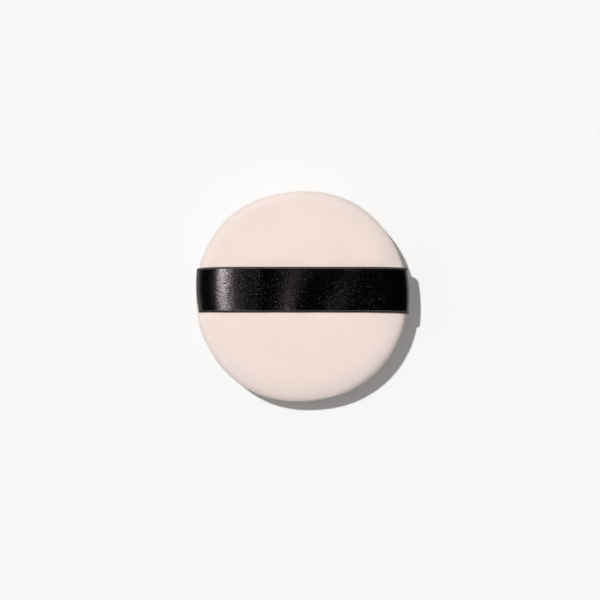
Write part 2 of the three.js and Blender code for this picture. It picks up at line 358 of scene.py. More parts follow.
def cloth_finish(name, colour, sizes, shades, bump, sheen, roughness=0.95, specular=0.1, rim=False):
    wire, surface, material = new_material(name)
    grain = wire.node("ShaderNodeGroup", node_tree=cloth_grain)
    set_plain(grain.inputs, dict(zip(GRAIN_INPUTS, (*sizes, *shades))))
    tinted = mixed(wire, 1.0, (*colour, 1), grain.outputs["Shade"], "MULTIPLY")
    # With rim set, the colour is multiplied by painted shade that darkens it towards the rim.
    if rim:
        rim_shade = wire.node("ShaderNodeGroup", node_tree=painted_rim_shade)
        tinted = mixed(wire, 1.0, tinted, rim_shade.outputs["Shade"], "MULTIPLY")
    wire.put(surface["Base Color"], tinted)
    relief = wire.node("ShaderNodeBump", {"Height": grain.outputs["Height"], "Distance": bump})
    wire.put(surface["Normal"], relief.outputs["Normal"])
    set_plain(surface, {
        "Roughness": roughness, "Diffuse Roughness": CLOTH_SCATTER, "Specular IOR Level": specular,
        "Sheen Weight": sheen, "Sheen Roughness": SHEEN_SPREAD})
    return material


VELOUR_COLOUR = (0.90, 0.785, 0.735)
PILE_COLOUR = (0.92, 0.808, 0.758)
# Both velour finishes take the painted rim shade: painted shade, darker towards the rim.
velour = cloth_finish(
    "velour_ground", VELOUR_COLOUR, (9 * MM, 0.35 * MM), (0.012, 0.03), 0.05 * MM, 0.15, rim=True)
pile_fibre = cloth_finish(
    "velour_pile", PILE_COLOUR, (9 * MM, 0.5 * MM), (0.012, 0.05), 0.01 * MM, 0.15, rim=True)
foam = cloth_finish("foam_cells", (0.92, 0.86, 0.79), (6 * MM, 0.6 * MM), (0.03, 0.08), 0.25 * MM, 0.0)
thread = cloth_finish(
    "sewing_thread", (0.87, 0.73, 0.67), (4 * MM, 0.15 * MM), (0.02, 0.08), 0.02 * MM, 0.2, 0.7, 0.3)


def sheet_finish():
    """White to the camera and to gloss, but a duller white as a reflector beside the puff."""
    wire, surface, material = new_material("white_sheet")
    rays = wire.node("ShaderNodeLightPath").outputs
    seen = wire.calc("MAXIMUM", rays["Is Camera Ray"], rays["Is Glossy Ray"])
    seen = wire.calc("MAXIMUM", seen, rays["Is Transmission Ray"])
    wire.put(surface["Base Color"], mixed(wire, seen, SHEET_BOUNCE, SHEET_WHITE))
    set_plain(surface, {"Roughness": 1.0, "Specular IOR Level": 0.0})
    return material


paper = sheet_finish()
floor.data.materials.append(paper)
print("finishes:", [m.name for m in (velour, pile_fibre, foam, thread, paper)])

# %% [markdown]
# The satin is woven so that the warp, which runs along the ribbon, floats over four picks of weft
# and dips under the fifth. Its fibres all lie along the ribbon, so light spreads across the
# ribbon and hardly along it: that is anisotropy, and it gives satin its streaks. The group below
# works out the float and dip of each warp end from the ribbon's own UV map, which holds metres.
# It also gives every float a random number, and scatters slack floats over the cloth: each leans by
# a different amount, and one that leans towards the light shows as a fleck.

# %% Satin weave and finish
WARP_PITCH, WEFT_PITCH = 0.12 * MM, 0.1 * MM
SATIN_REPEAT, SATIN_SHIFT = 5.0, 2.0  # picks from dip to dip, and from one end's dips to the next end's
SLUB_SIZE, SLUB_HEIGHT = 2.2 * MM, 0.012 * MM  # slow unevenness of the yarn
FLOAT_TILT, SLACK_TILT = 0.07, 0.24  # how far a float and a slack float may lean
DIP_ROUGHNESS, FLOAT_ROUGHNESS = 0.275, 0.25
SLACK_ROUGHNESS = 0.17  # added where a float is slack
SATIN_BLACKS = (0.0001, 0.0001, 0.0001, 1), (0.0006, 0.0005, 0.0005, 1)


def make_satin_weave():
    tree, wire, given, result = new_tree(
        "satin_weave", "ShaderNodeTree",
        [("Warp Pitch", FLOAT, WARP_PITCH), ("Weft Pitch", FLOAT, WEFT_PITCH),
         ("Fleck Pitch", FLOAT, 0.85 * MM), ("Fleck Size", FLOAT, 0.17 * MM)],
        [("Height", FLOAT), ("Glint", FLOAT), ("Fleck", FLOAT), ("Lean", FLOAT)])
    cloth = wire.node("ShaderNodeTexCoord").outputs["UV"]
    flat = wire.node("ShaderNodeSeparateXYZ", {0: cloth})
    end = wire.over(flat.outputs["Y"], given["Warp Pitch"])
    pick = wire.over(flat.outputs["X"], given["Weft Pitch"])
    end_number, pick_number = wire.calc("FLOOR", end), wire.calc("FLOOR", pick)
    rounded = wire.calc("SINE", wire.times(wire.calc("FRACT", end), math.pi))
    step = wire.minus(pick_number, wire.times(end_number, SATIN_SHIFT))
    dips = wire.calc("LESS_THAN", wire.calc("FLOORED_MODULO", step, SATIN_REPEAT), 1.0)
    arch = wire.calc("SINE", wire.times(wire.calc("FRACT", pick), math.pi))
    wire.put(result["Height"], wire.minus(rounded, wire.times(dips, arch)))
    float_number = wire.calc("FLOOR", wire.over(step, SATIN_REPEAT))
    cell = wire.vector(float_number, end_number)
    glint = wire.node("ShaderNodeTexWhiteNoise", {"Vector": cell}, noise_dimensions="3D")
    wire.put(result["Glint"], glint.outputs["Value"])
    slack = wire.node("ShaderNodeTexVoronoi", {
        "Vector": cloth, "Scale": wire.over(1.0, given["Fleck Pitch"])}, voronoi_dimensions="2D")
    away = wire.times(slack.outputs["Distance"], given["Fleck Pitch"])
    fleck = wire.calc("LESS_THAN", away, wire.over(given["Fleck Size"], 2.0))
    lean = wire.node("ShaderNodeSeparateColor", {0: slack.outputs["Color"]}).outputs["Red"]
    wire.put(result["Fleck"], fleck)
    wire.put(result["Lean"], wire.times(fleck, lean))
    return tree


satin_weave = make_satin_weave()


def satin_finish():
    wire, surface, material = new_material("black_satin")
    weave = wire.node("ShaderNodeGroup", node_tree=satin_weave)
    place = wire.node("ShaderNodeTexCoord").outputs["UV"]
    slub = wire.node("ShaderNodeTexNoise", {"Vector": place, "Scale": 1 / SLUB_SIZE, "Detail": 2.0})
    relief = wire.node("ShaderNodeBump", {"Height": slub.outputs["Fac"], "Distance": SLUB_HEIGHT})
    along = wire.node("ShaderNodeTangent", direction_type="UV_MAP")
    tilt = wire.times(wire.minus(weave.outputs["Glint"], 0.5), FLOAT_TILT)
    tilt = wire.minus(tilt, wire.times(weave.outputs["Lean"], SLACK_TILT))
    lean = wire.node("ShaderNodeVectorMath", {0: along, "Scale": tilt}, operation="SCALE")
    tilted = wire.node("ShaderNodeVectorMath", {0: relief.outputs["Normal"], 1: lean})
    facing = wire.node("ShaderNodeVectorMath", {0: tilted}, operation="NORMALIZE")
    wire.put(surface["Normal"], facing)
    rough = wire.node("ShaderNodeMapRange", {
        "Value": weave.outputs["Height"], "To Min": DIP_ROUGHNESS, "To Max": FLOAT_ROUGHNESS})
    rough = wire.plus(rough, wire.times(weave.outputs["Fleck"], SLACK_ROUGHNESS))
    wire.put(surface["Roughness"], rough)
    wire.put(surface["Base Color"], mixed(wire, weave.outputs["Glint"], *SATIN_BLACKS))
    wire.put(surface["Tangent"], along)
    set_plain(surface, {
        "Specular IOR Level": 0.78, "Specular Tint": (1.0, 0.86, 0.88, 1),
        "Anisotropic": 0.9, "Anisotropic Rotation": 0.25})
    return material


satin = satin_finish()
YARN = (3 * MM, 0.2 * MM), (0.1, 0.3), 0.01 * MM, 0.0  # sizes, shades, bump and sheen
# The loops' grey is partly painted highlight: their weft is as black as the edge, and the grey stands in for
# the glint where each loop turns; the gloss on top is real.
loop_yarn_painted_highlight = cloth_finish("loop_yarn_painted_highlight", (0.15, 0.134, 0.136), *YARN, 0.35, 1.0)
edge_yarn = cloth_finish("edge_yarn", (0.002, 0.002, 0.002), *YARN, 0.6, 0.1)
print("satin weave:", WARP_PITCH / MM, "by", WEFT_PITCH / MM, "mm")

# %% [markdown]
# The ribbon lies over the back and drops over the shoulders into the seam. One rigid strip can't
# lift off in the middle while its ends stay sewn, so it is made as two halves that meet in the
# middle. Its line is a rounded profile like the puff's, plus slow ripples: where a ripple rises to
# the right it faces the light and shows a streak.
# The line comes before the covers, because the velour gives way under the ribbon.

# %% Ribbon line
ribbon_low, ribbon_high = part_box("finger_ribbon")
SELVEDGE = 0.18 * MM  # about how far the loops stand out from each edge
RIBBON_WIDTH = ribbon_high.y - ribbon_low.y - SELVEDGE
RIBBON_MIDDLE = (ribbon_high.y + ribbon_low.y) / 2 + 0.2 * MM  # sewn in a touch off the solid's middle
RIBBON_THICKNESS = 0.22 * MM
RIBBON_REACH = {1: 35.7 * MM, -1: 34.75 * MM}  # how far out each side drop hangs, at mid width
RIBBON_SKEW = {1: -0.25 * MM, -1: 0.3 * MM}  # how much farther out its upper edge hangs than mid width
RIBBON_BULGE = 0.55 * MM  # how much less far both edges hang out than the middle
RIBBON_REST = 0.18 * MM  # the ribbon's middle layer over the crown
RIBBON_LOW = 0.5 * MM  # where the drop ends, from the seam plane
DROP_TOP = SEAM + 1.5 * MM  # where the rounded line becomes the straight drop
SHOULDER = {1: (5.0, 4.2), -1: (4.3, 1.7)}  # powers of the line: pulled tighter on the left
RIPPLE_HEIGHT, RIPPLE_LENGTH, RIPPLE_CREST = 0.26 * MM, 18.6 * MM, 1.0 * MM
RIPPLE_START, RIPPLE_RAMP = -16, 6  # mm along the ribbon: where they begin, and how soon they are full
RIPPLE_FADE = [4, 13, 24], [1, 0.75, 0]  # mm along the ribbon, and the share that is left there
RIPPLE_TURN = [-20, -6, 8], [0, 0.3, 1]  # mm along the ribbon, and the share of the slant there
RIBBON_TOP = 0.8  # share of the reach with even steps, before those that follow the shoulder
RIPPLE_SLANT = 4.0 * MM  # how far a crest leans along the ribbon from its middle to its upper edge
END_BOW = {1: (0.45 * MM, 0.45 * MM), -1: (0.15 * MM, 0.6 * MM)}  # drift of the ends, lower and upper edge


def eased(share):
    share = np.clip(share, 0, 1)
    return share * share * (3 - 2 * share)


def ripple(x, across):
    """Height of the ribbon's ripples at x. across runs from -1 at the lower edge to 1 at the upper.

    They come in near the left shoulder and die out towards the right one."""
    fade = eased((x / MM - RIPPLE_START) / RIPPLE_RAMP) * np.interp(x / MM, *RIPPLE_FADE)
    slant = RIPPLE_SLANT * np.interp(x / MM, *RIPPLE_TURN) * across
    return RIPPLE_HEIGHT * fade * np.cos(2 * math.pi * (x - slant - RIPPLE_CREST) / RIPPLE_LENGTH)


def ribbon_reach(side, across):
    return RIBBON_REACH[side] + RIBBON_SKEW[side] * across - RIBBON_BULGE * across ** 2


def ribbon_line(side, across, steps_top=110, steps_shoulder=40, steps_drop=8):
    """Points (x, z) of one half of the ribbon's middle layer, from the middle outwards."""
    reach = ribbon_reach(side, across)
    rise = CROWN - DROP_TOP + RIBBON_REST
    flat, drop = SHOULDER[side]
    top = np.linspace(0, RIBBON_TOP, steps_top)
    turn = np.linspace(math.acos(RIBBON_TOP ** (flat / 2)), 0, steps_shoulder + 1)[1:]
    unit = np.concatenate([top, np.cos(turn) ** (2 / flat)])
    height = (1 - unit ** flat).clip(0) ** (1 / drop)
    x = side * unit * reach
    z = DROP_TOP + rise * height + ripple(x, across)
    down = np.linspace(z[-1], SEAM + RIBBON_LOW, steps_drop + 1)[1:]
    return np.concatenate([x, np.full(steps_drop, x[-1])]), np.concatenate([z, down])


print(f"ribbon {RIBBON_WIDTH / MM:.2f} mm wide, middle at y {RIBBON_MIDDLE / MM:.2f} mm")

# %% [markdown]
# Each cover is a velour disc that domes over the core, rolls under at the rim and turns in at the
# seam as a hem. It starts as rings of points on a rounded profile. The outline isn't a true
# circle: hand-turned covers end up a little squared, which three low waves round the rim give. Nor is
# the back's shoulder alike all round. A table gives it: full at the upper left, and slack above the
# ribbon's right end.

# %% Velour skins: rings on a rounded profile
ROUND = 80
FLAT_RINGS, SHOULDER_RINGS, ROLL_RINGS, HEM_RINGS = 12, 6, 3, 3
CROWN_RINGS = FLAT_RINGS + SHOULDER_RINGS
FLAT_SHARE = 0.82  # where the shoulder's rings start, as a share of the rim
SHOULDERS = [  # degrees round the rim, two powers of the shoulder there, height of the rolled lip in mm
    (4, 8.0, 5.0, 2.2), (11, 7.5, 3.2, 2.0), (18, 6.0, 1.0, 1.6), (27, 7.0, 1.0, 1.6), (36, 6.5, 1.1, 1.8),
    (50, 5.0, 1.5, 2.0), (85, 8.0, 3.0, 2.2), (140, 8.0, 3.0, 2.2), (175, 5.0, 1.8, 2.2),
    (215, 6.0, 2.0, 2.2), (270, 5.0, 1.6, 2.2), (295, 5.0, 1.6, 2.2), (320, 6.0, 2.2, 2.2),
    (350, 8.0, 4.5, 2.2)]
FACE_SHOULDER = 6.0, 2.0, EDGE_ROLL  # the face is alike all round
SKIN_RIM = RIM + 0.2 * MM  # the velour stands a touch outside the solid
SEAM_LINE = SKIN_RIM - SEAM_DRAW
HEM_EDGE = SEAM_LINE - HEM_WIDTH
SWELL_ROOM = 0.5 * MM  # the covers start this much flatter, because they swell
BACK_RISE = CROWN - SEAM - PILE - SWELL_ROOM
FACE_DROP = BACK_RISE + 0.4 * MM  # deeper, because the face is laid flat later
RIM_POWER = 4  # keeps what is done at the rim near the rim
WAVES = [(4, -39, 0.0085), (2, 15, 0.003), (6, 6, 0.0035)]  # waves round, peak in degrees, share


def outline(angle):
    return 1 + sum(share * math.cos(count * (angle - math.radians(peak))) for count, peak, share in WAVES)


def back_shoulder(angle):
    """How square the back's shoulder is at an angle, and how high its lip: squarest at the upper left."""
    degrees, *columns = zip(*SHOULDERS)
    flat, drop, lip = (np.interp(math.degrees(angle), degrees, column, period=360) for column in columns)
    return flat, drop, lip * MM


def skin_profile(rise, flat, drop, lip):
    """Points (radius, height from the seam plane) from the middle out to the hem's inner edge."""
    points = [(0.0, rise)]
    first = math.acos(FLAT_SHARE ** (flat / 2))
    reaches = [FLAT_SHARE * i / FLAT_RINGS for i in range(1, FLAT_RINGS + 1)]
    turns = [first * (1 - i / SHOULDER_RINGS) for i in range(1, SHOULDER_RINGS + 1)]
    reaches += [math.cos(turn) ** (2 / flat) for turn in turns]
    for reach in reaches:
        up = max(1 - reach ** flat, 0.0) ** (1 / drop)
        points.append((SKIN_RIM * reach, lip + (rise - lip) * up))
    for i in range(1, ROLL_RINGS + 1):
        turn = math.pi / 2 * i / ROLL_RINGS
        low = lip - (lip - SEAM_GAP / 2) * math.sin(turn)
        points.append((SEAM_LINE + SEAM_DRAW * math.cos(turn), low))
    for i in range(1, HEM_RINGS + 1):
        points.append((SEAM_LINE - HEM_WIDTH * i / HEM_RINGS, SEAM_GAP / 2))
    return points


def round_rim(radius, angle, height):
    """A point at a height from the seam plane."""
    return radius * math.cos(angle), radius * math.sin(angle), SEAM + height


def ring_faces(rings):
    """Faces of a fan round point 0, and between the rings of ROUND points that follow it."""
    faces = []
    for step in range(ROUND):
        after = (step + 1) % ROUND
        faces.append((0, 1 + step, 1 + after))
        for first in range(1, 1 + (rings - 1) * ROUND, ROUND):
            a, b = first + step, first + after
            faces.append((a, a + ROUND, b + ROUND, b))
    return faces


def velour_skin(name, rise, side):
    """One cover's outer surface. side is 1 for the back and -1 for the face."""
    angles = [2 * math.pi * step / ROUND for step in range(ROUND)]
    shoulders = [back_shoulder(angle) if side > 0 else FACE_SHOULDER for angle in angles]
    profiles = [skin_profile(rise, *shoulder) for shoulder in shoulders]
    points = [(0, 0, SEAM + side * rise)]
    for ring in range(1, len(profiles[0])):
        for angle, profile in zip(angles, profiles):
            radius, height = profile[ring]
            reach = radius * (1 + (outline(angle) - 1) * (radius / RIM) ** RIM_POWER)
            points.append(round_rim(reach, angle, side * height))
    faces = ring_faces(len(profiles[0]) - 1)
    if side < 0:
        faces = [face[::-1] for face in faces]
    return piece_from(name, points, faces)


back_skin = velour_skin("velour_back", BACK_RISE, 1)
face_skin = velour_skin("velour_face", FACE_DROP, -1)
print("skins:", len(back_skin.data.vertices), "points each")

# %% [markdown]
# A stuffed cover swells between its seams, and no formula gives that as well as a cloth
# simulation. The skin is copied at ten times its size, because the solver likes large things,
# pinned along the seam and hem, cut a little too large, and blown up with pressure for twenty
# frames. The core inside lets it move outwards only, and movement is capped. The face is then laid
# flat where it rests.

# %% Swell the covers with a cloth simulation
SIM_SCALE = 10
SIM_FRAMES = 20
SWELL_CAP = 0.9 * MM
PRESSURE = 0.3
SPARE_CLOTH = -0.02  # negative shrink: the velour is cut a little large
SOLVER_STEPS, BENDING = 6, 2.0


def swell(skin):
    first_pin = 1 + (CROWN_RINGS + ROLL_RINGS - 1) * ROUND
    start = points_of(skin.data)
    sim = in_scene("swelling", skin.data.copy())
    sim.data.transform(Matrix.Scale(SIM_SCALE, 4))
    pins = sim.vertex_groups.new(name="seam")
    pins.add(list(range(first_pin, len(start))), 1.0, "REPLACE")
    cloth = sim.modifiers.new("swell", "CLOTH")
    rules = cloth.settings
    rules.quality = SOLVER_STEPS
    rules.vertex_group_mass = "seam"
    rules.use_pressure = True
    rules.uniform_pressure_force = PRESSURE
    rules.shrink_min = SPARE_CLOTH
    rules.bending_stiffness = BENDING
    rules.effector_weights.gravity = 0
    cloth.collision_settings.use_collision = False
    cloth.point_cache.frame_start, cloth.point_cache.frame_end = 1, SIM_FRAMES
    for number in range(1, SIM_FRAMES + 1):
        bpy.context.scene.frame_set(number)
    swollen = points_of(plain_mesh(sim)) / SIM_SCALE
    bpy.data.objects.remove(sim)
    bpy.context.scene.frame_set(1)
    move = swollen - start
    normals = points_of(skin.data, "normal")
    move -= normals * np.minimum((move * normals).sum(axis=1, keepdims=True), 0)
    length = np.linalg.norm(move, axis=1, keepdims=True)
    move *= np.minimum(1, SWELL_CAP / np.maximum(length, 1e-9))
    kept = np.linalg.norm(move, axis=1)
    print(f"{skin.name}: moved up to {length.max() / MM:.2f} mm, kept {kept.max() / MM:.2f} mm")
    return start + move


def back_to_size(points):
    """Swelling changes the size of the rim, so the points near it are moved back."""
    radius = np.hypot(points[:, 0], points[:, 1])
    change = SKIN_RIM / radius[1:].reshape(-1, ROUND).mean(axis=1).max() - 1
    points[:, :2] *= 1 + change * (radius / SKIN_RIM)[:, None] ** RIM_POWER
    print(f"rim moved back by {change * SKIN_RIM / MM:.2f} mm")
    return points


for skin in (back_skin, face_skin):
    moved = back_to_size(swell(skin))
    moved[:, 2] = np.clip(moved[:, 2], PILE, CROWN)
    set_points(skin, moved)

# %% [markdown]
# The ribbon is sewn in tight, so the velour gives way under it: each point of the back that would
# stand higher than the ribbon's underside is drawn back towards the middle of the puff, by a share
# that halving finds. Beside the ribbon the push fades out within about a millimetre.

# %% Press the back cover under the ribbon
PRESS_DEPTH = 0.42 * MM  # from the ribbon's middle layer to the ground cloth
PRESS_FADE = 1.2 * MM
HALVINGS = 24
DEEPEST, UNTOUCHED = 0.5, 0.9999  # shares: the most that a point is drawn in, and not at all


def pressed(points):
    x, y, z = points.T
    across_ribbon = np.clip((y - RIBBON_MIDDLE) / (RIBBON_WIDTH / 2), -1, 1)
    beside = np.abs(y - RIBBON_MIDDLE) - RIBBON_WIDTH / 2 - SELVEDGE
    weight = eased(1 - beside / PRESS_FADE)
    scale = np.ones(len(points))
    for side in (1, -1):
        flat, drop = SHOULDER[side]
        reach = ribbon_reach(side, across_ribbon) - PRESS_DEPTH
        rise = CROWN - DROP_TOP + RIBBON_REST - PRESS_DEPTH + ripple(x, across_ribbon)
        across, up = np.abs(x) / reach, np.clip((z - DROP_TOP) / rise, 0, None)
        low, high = np.full(len(points), DEEPEST), np.ones(len(points))
        for _ in range(HALVINGS):
            middle = (low + high) / 2
            outside = (middle * across) ** flat + (middle * up) ** drop > 1
            high, low = np.where(outside, middle, high), np.where(outside, low, middle)
        scale = np.where(np.sign(x) == side, np.where(high < UNTOUCHED, low, 1), scale)
    scale = 1 - (1 - scale) * weight
    result = points.copy()
    result[:, 0] = x * scale
    result[:, 2] = np.where(z > DROP_TOP, DROP_TOP + (z - DROP_TOP) * scale, z)
    return result


before = points_of(back_skin.data)
after = pressed(before)
set_points(back_skin, after)
print(f"pressed in by up to {np.linalg.norm(after - before, axis=1).max() / MM:.2f} mm")

# %% [markdown]
# The foam core is what the covers stretch over. It never shows. Its two faces are the insides of
# the covers, a cloth's thickness in, and a groove round its rim leaves room for the hems.

# %% Foam core
FOAM_GAP = 0.3 * MM
GROOVE_HALF = 1.5 * MM  # half the height of the groove


def inside_of(skin, side):
    """The middle point and the rings of points just inside a cover, from the middle to the rim."""
    inner = points_of(skin.data) - points_of(skin.data, "normal") * (VELOUR + FOAM_GAP)
    rings = inner[1:1 + CROWN_RINGS * ROUND].reshape(CROWN_RINGS, ROUND, 3)
    rings[..., 2] = SEAM + side * np.maximum(side * (rings[..., 2] - SEAM), GROOVE_HALF)
    groove = rings[-1] * [HEM_EDGE / RIM, HEM_EDGE / RIM, 1]
    groove[:, 2] = SEAM + side * GROOVE_HALF
    return inner[0], [*rings, groove]


def foam_solid():
    top, upper = inside_of(back_skin, 1)
    bottom, lower = inside_of(face_skin, -1)
    rings = upper + lower[::-1]
    points = np.concatenate([[top], *rings, [bottom]])
    end = len(points) - 1
    last = end - ROUND
    under = [(end, last + (step + 1) % ROUND, last + step) for step in range(ROUND)]
    return piece_from("foam_pad", points, ring_faces(len(rings)) + under)


foam_core = foam_solid()
foam_core.data.materials.append(foam)
print("foam:", len(foam_core.data.polygons), "faces")

# %% [markdown]
# Two subdivisions smooth the skin. The pile is grown on that smooth skin, before the cloth gets its
# thickness, so that no fibre grows on the inside. The hem is left bare.

# %% Smooth the skins
for skin in (back_skin, face_skin):
    smooth = skin.modifiers.new("smooth", "SUBSURF")
    smooth.levels = smooth.render_levels = 2
    keep_modified(skin)
    points = points_of(skin.data)
    shown = skin.data.attributes.new("shows", "FLOAT", "POINT")
    radius = np.hypot(points[:, 0], points[:, 1])
    hem = (np.abs(points[:, 2] - SEAM) < SEAM_GAP) & (radius < SEAM_LINE)
    shown.data.foreach_set("value", np.where(hem, 0.0, 1.0).astype(np.float32))
    print(skin.name, len(skin.data.polygons), "faces")

# %% [markdown]
# Velour is a ground cloth covered with short upright fibres. Shading alone gives a smooth rim, so
# the pile is real: a Geometry Nodes tree scatters tens of thousands of tiny cones over the skin,
# each leaning a little at random, which softens the outline and breaks up the light.

# %% Grow the pile with Geometry Nodes
SHORTEST_FIBRE, LONGEST_FIBRE = 0.65, 1.15  # as shares of the pile's length


def leant(wire, rotation, lean):
    """A rotation turned on by three angles, in its own axes."""
    turn = wire.node("FunctionNodeEulerToRotation", {0: lean})
    return wire.node("FunctionNodeRotateRotation", {
        "Rotation": rotation, "Rotate By": turn}, rotation_space="LOCAL")


def dressed(wire, geometry, material):
    """The end of a tree: instances made real, and their material set."""
    real = wire.node("GeometryNodeRealizeInstances", {"Geometry": geometry})
    return wire.node("GeometryNodeSetMaterial", {"Geometry": real, "Material": material})


def make_pile_tree():
    tree, wire, given, result = new_grower("velour_pile", [
        ("Density", FLOAT, 9e6), ("Length", FLOAT, 0.42 * MM), ("Width", FLOAT, 0.09 * MM),
        ("Lean", FLOAT, 0.6), ("Seed", INTEGER, 1), ("Material", MATERIAL, None)])
    shows = wire.node("GeometryNodeInputNamedAttribute", {"Name": "shows"}, data_type="FLOAT")
    density = wire.times(given["Density"], shows.outputs["Attribute"])
    scattered = wire.node("GeometryNodeDistributePointsOnFaces", {
        "Mesh": given["Geometry"], "Density": density, "Seed": given["Seed"]})
    fibre = wire.node("GeometryNodeMeshCone", {
        "Vertices": 3, "Side Segments": 1, "Radius Top": 0.0, "Depth": given["Length"],
        "Radius Bottom": wire.over(given["Width"], 2.0)}, fill_type="NONE")
    least = wire.times(given["Lean"], -1.0)
    lean = wire.node("FunctionNodeRandomValue", {
        "Min": wire.vector(least, least, -math.pi),
        "Max": wire.vector(given["Lean"], given["Lean"], math.pi),
        "Seed": given["Seed"]}, data_type="FLOAT_VECTOR")
    turned = leant(wire, scattered.outputs["Rotation"], lean)
    size = wire.node("FunctionNodeRandomValue", {
        2: SHORTEST_FIBRE, 3: LONGEST_FIBRE, "Seed": given["Seed"]}, data_type="FLOAT")
    planted = wire.node("GeometryNodeInstanceOnPoints", {
        "Points": scattered.outputs["Points"], "Instance": fibre.outputs["Mesh"],
        "Rotation": turned, "Scale": size.outputs[1]})
    wire.put(result["Geometry"], dressed(wire, planted, given["Material"]))
    return tree


pile_tree = make_pile_tree()
back_pile = grow("pile_back", back_skin, pile_tree, Seed=3, Material=pile_fibre)
face_pile = grow("pile_face", face_skin, pile_tree, Seed=4, Material=pile_fibre)

# %% [markdown]
# Solidify gives each cover its cloth thickness, inwards, so that the outer size stays.

# %% Give the covers their thickness
for skin in (back_skin, face_skin):
    wall = skin.modifiers.new("cloth", "SOLIDIFY")
    wall.thickness, wall.offset = VELOUR, -1
    keep_modified(skin)
    skin.data.materials.clear()
    skin.data.materials.append(velour)
    print(skin.name, len(skin.data.polygons), "faces with both sides")

# %% [markdown]
# A strip helper turns the ribbon's lines into a thin closed band with two faces and four edges. Its
# outer rows get the duller yarn of the firm edge. It also writes a UV map in metres, along and across
# the cloth, which the weave follows.

# %% Strip helper
STRIP_ROWS = 24
SHARP_EDGE = math.radians(50)


def strip(name, middle, thickness, direction, start=0.0):
    """A closed band round a grid of middle points, [station, row, xyz], with a UV map in metres.

    Its two outer rows are the firm edge of the ribbon, which is duller than the satin between them.
    direction is 1 where the stations run to the right, and start is the length before the first."""
    along = np.gradient(middle, axis=0)
    across = np.gradient(middle, axis=1)
    normal = np.cross(along, across)
    normal /= np.linalg.norm(normal, axis=2, keepdims=True)
    stations, rows = middle.shape[:2]
    layers = [middle + normal * thickness / 2, middle - normal * thickness / 2]
    points = np.concatenate([layer.reshape(-1, 3) for layer in layers])
    index = np.arange(stations * rows).reshape(stations, rows)
    under = index + stations * rows
    faces = []

    def patch(a, b, c, d):
        faces.extend(np.stack([a, b, c, d], -1).reshape(-1, 4).tolist())

    patch(index[:-1, :-1], index[1:, :-1], index[1:, 1:], index[:-1, 1:])
    patch(under[:-1, :-1], under[:-1, 1:], under[1:, 1:], under[1:, :-1])
    patch(index[:-1, 0], under[:-1, 0], under[1:, 0], index[1:, 0])
    patch(index[:-1, -1], index[1:, -1], under[1:, -1], under[:-1, -1])
    patch(index[0, :-1], index[0, 1:], under[0, 1:], under[0, :-1])
    patch(index[-1, :-1], under[-1, :-1], under[-1, 1:], index[-1, 1:])
    piece = piece_from(name, points, faces)
    sheet_faces, edge_faces = 2 * (stations - 1) * (rows - 1), 2 * (stations - 1)
    row = np.arange(sheet_faces) % (rows - 1)
    slots = np.zeros(len(faces), dtype=np.int32)
    slots[:sheet_faces] = (row == 0) | (row == rows - 2)
    slots[sheet_faces:sheet_faces + edge_faces] = 1
    piece.data.materials.append(satin)
    piece.data.materials.append(edge_yarn)
    piece.data.polygons.foreach_set("material_index", slots)
    length = np.concatenate([[0], np.cumsum(np.linalg.norm(np.diff(middle[:, rows // 2], axis=0), axis=1))])
    width = middle[0, :, 1] - middle[0, :, 1].min()
    run = direction * (start + length)
    flat = np.stack(np.broadcast_arrays(run[:, None], width[None, :]), -1).reshape(-1, 2)
    corner = np.empty(len(piece.data.loops), dtype=np.int32)
    piece.data.loops.foreach_get("vertex_index", corner)
    uv = piece.data.uv_layers.new(name="cloth")
    uv.data.foreach_set("uv", flat[corner % (stations * rows)].astype(np.float32).ravel())
    piece.data.set_sharp_from_angle(angle=SHARP_EDGE)
    print(f"{name}: {length[-1] / MM:.1f} by {width.max() / MM:.1f} mm")
    return piece, length[-1]


# %% [markdown]
# Now the two halves. The strip's rows run across the ribbon, and its normal has to point up, so
# the rows of the left half are taken in the other order.

# %% Ribbon halves
BOW_POWER = 10  # keeps the drift of the ends near the ends


def ribbon_half(side):
    across = np.linspace(-1, 1, STRIP_ROWS + 1)[::side]
    lines = []
    for share in across:
        y = RIBBON_MIDDLE + share * RIBBON_WIDTH / 2
        x, z = ribbon_line(side, share)
        bow = np.interp(share, [-1, 1], END_BOW[side]) * np.clip(np.abs(x) / RIM, 0, 1) ** BOW_POWER
        lines.append(np.stack([x, y - bow, z], 1))
    return np.stack(lines, 1)


HALVES = {"left": -1, "right": 1}
ribbon_grids = {name: ribbon_half(side) for name, side in HALVES.items()}
ribbons, ribbon_lengths = {}, {}
for name, grid in ribbon_grids.items():
    ribbons[name], ribbon_lengths[name] = strip(f"ribbon_{name}", grid, RIBBON_THICKNESS, HALVES[name])

# %% [markdown]
# The ends of the same ribbon turn in under the drop and run between the hems. They stay with the
# puff when the ribbon lifts, so they are pieces of their own.

# %% Ribbon ends in the seam
END_TURN = 0.35 * MM  # radius of the turn from the drop into the seam
END_INSIDE = 5.0 * MM  # how far the end runs in from the seam line


def ribbon_end(side):
    lines = []
    for drop in ribbon_grids["right" if side > 0 else "left"][-1]:
        turn = np.linspace(0, math.pi / 2, 7)
        x = drop[0] - side * END_TURN * (1 - np.cos(turn))
        z = SEAM + END_TURN * (1 - np.sin(turn))
        run = np.linspace(x[-1], side * (SEAM_LINE - END_INSIDE), 16)[1:]
        x = np.concatenate([[drop[0]], x, run])
        z = np.concatenate([[drop[2]], z, np.full_like(run, SEAM)])
        lines.append(np.stack([x, np.full_like(x, drop[1]), z], 1))
    return np.stack(lines, 1)


ribbon_ends, end_lengths = {}, {}
for name, side in HALVES.items():
    ribbon_ends[name], end_lengths[name] = strip(
        f"ribbon_end_{name}", ribbon_end(side), RIBBON_THICKNESS, side, ribbon_lengths[name])

# %% [markdown]
# Along both edges of a woven ribbon the weft turns back in small loops. From above they show as a
# row of dark teeth, with the velour between them, and inside each tooth is a glossy dot where the
# loop turns, its yarn painted grey as a painted highlight. A node tree sets both rows along an edge
# line, leaning a little over the edge.

# %% Selvedge loops
BEAD_SHAPE = 0.65, 0.95, 0.3  # of a loop or tooth: along, across and through the ribbon


